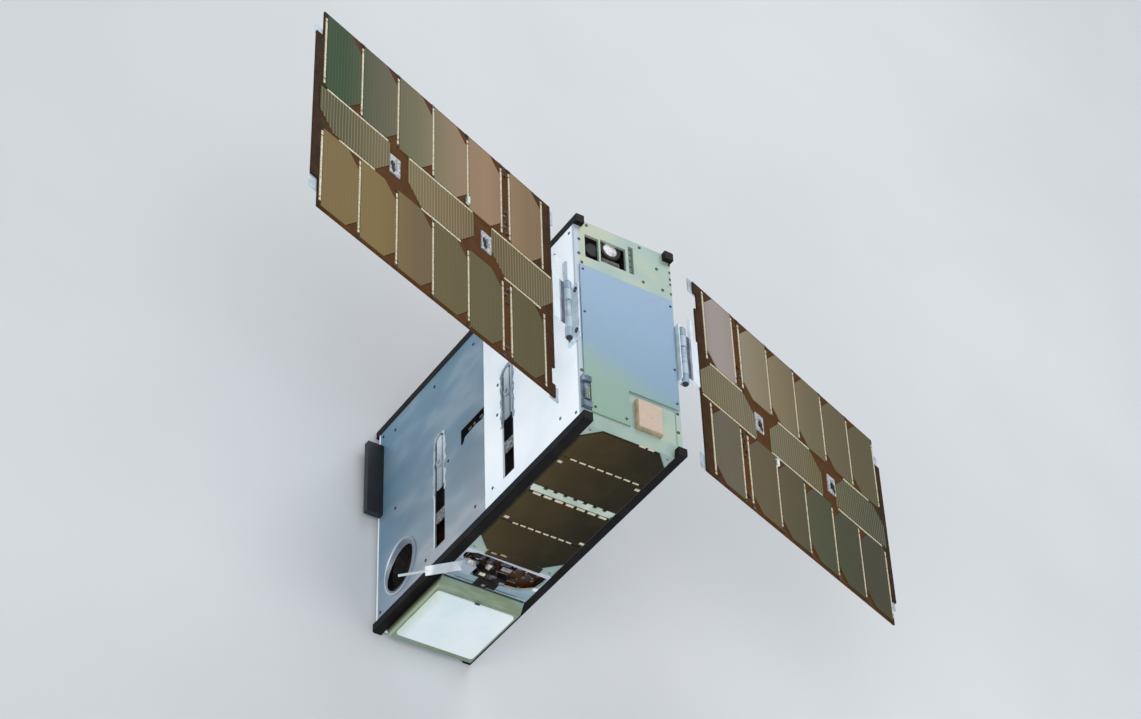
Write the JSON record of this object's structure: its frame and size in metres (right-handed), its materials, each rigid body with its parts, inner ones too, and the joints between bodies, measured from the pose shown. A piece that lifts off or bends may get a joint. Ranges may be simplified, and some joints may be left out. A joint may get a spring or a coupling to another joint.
{
  "type": "small satellite",
  "caption": "Box-shaped small satellite with two hinged solar wings, corner rails, radiator, star trackers and antennas",
  "frame": {"origin": "middle of the whole object's box, on the floor that the rear rail ends stand on", "axes": "+Z along the body's length, from its rear end up to its front end; X across its width; -Y is the face with the antennas and body cells"},
  "size_m": [0.7072, 0.2657, 0.4407],
  "materials": {
    "black_anodised": "hard anodised, dark, satin",
    "white_paint": "white thermal paint",
    "grey_aluminium": "satin machined",
    "green_chromate": "pale green chromate conversion, slightly iridescent",
    "mirror_radiator": "second-surface mirror, pale blue",
    "patch_ceramic": "peach ceramic patch, matt",
    "white_radome": "white radome paint",
    "solar_cell": "cover glass over olive-brown cells",
    "amber_board": "amber polyimide film over a thin board",
    "circuit_board": "brown solder mask",
    "equipment": "dark plain equipment block",
    "tape_steel": "bright spring steel",
    "hinge_metal": "clear anodised",
    "lens_glass": "coated lens glass",
    "black_plastic": "black moulded"
  },
  "bodies": {
    "body": {"antenna_base": "green_chromate", "antenna_panel": "green_chromate", "board_chips": "black_plastic", "board_posts": "hinge_metal", "cell_boards": "circuit_board", "circuit_board": "circuit_board", "connector_bracket": "hinge_metal", "cut_out_frame": "green_chromate", "equipment_stack": "equipment", "front_panel": "green_chromate", "hinge_bracket_left": "hinge_metal", "hinge_bracket_right": "hinge_metal", "hinge_pins": "hinge_metal", "hinge_springs": "hinge_metal", "hold_down_blocks": "hinge_metal", "hold_down_trays": "hinge_metal", "inner_frames": "grey_aluminium", "lower_cells": "solar_cell", "lower_panel": "green_chromate", "notched_strip": "green_chromate", "patch_antenna": "patch_ceramic", "patch_base": "circuit_board", "port_cup": "black_anodised", "radiator": "mirror_radiator", "radome": "white_radome", "rails": "black_anodised", "rear_panel": "green_chromate", "side_panel_left_front": "white_paint", "side_panel_left_rear": "grey_aluminium", "side_panel_right_front": "white_paint", "side_panel_right_rear": "grey_aluminium", "side_port": "hinge_metal", "side_recess": "black_anodised", "slot_cross_bars": "black_plastic", "star_camera_barrels": "black_plastic", "star_camera_housings": "black_plastic", "star_camera_lenses": "lens_glass", "sun_sensor": "black_plastic", "tape_antenna": "tape_steel", "tape_clamp": "black_plastic", "tip_rests": "black_plastic", "upper_cells": "solar_cell", "upper_panel": "green_chromate"},
    "left_wing": {"wing_board_left": "amber_board", "wing_bushings_left": "hinge_metal", "wing_cells_lower_left": "solar_cell", "wing_cells_middle_left": "solar_cell", "wing_cells_upper_left": "solar_cell", "wing_connector_left": "white_radome", "wing_tabs_left": "hinge_metal", "hinge_leaf_left": "hinge_metal"},
    "right_wing": {"wing_board_right": "amber_board", "wing_bushings_right": "hinge_metal", "wing_cells_lower_right": "solar_cell", "wing_cells_middle_right": "solar_cell", "wing_cells_upper_right": "solar_cell", "wing_connector_right": "white_radome", "wing_tabs_right": "hinge_metal", "hinge_leaf_right": "hinge_metal"}
  },
  "joints": [
    {"name": "left_wing_hinge", "type": "hinge", "parent": "body", "child": "left_wing", "pos_m": [-0.0575, 0.02239, 0.3347], "axis": [0, 1, 0], "range_deg": [-109.6, 2.4]},
    {"name": "right_wing_hinge", "type": "hinge", "parent": "body", "child": "right_wing", "pos_m": [0.0575, 0.02239, 0.3347], "axis": [0, -1, 0], "range_deg": [-70.4, 41.6]}
  ]
}
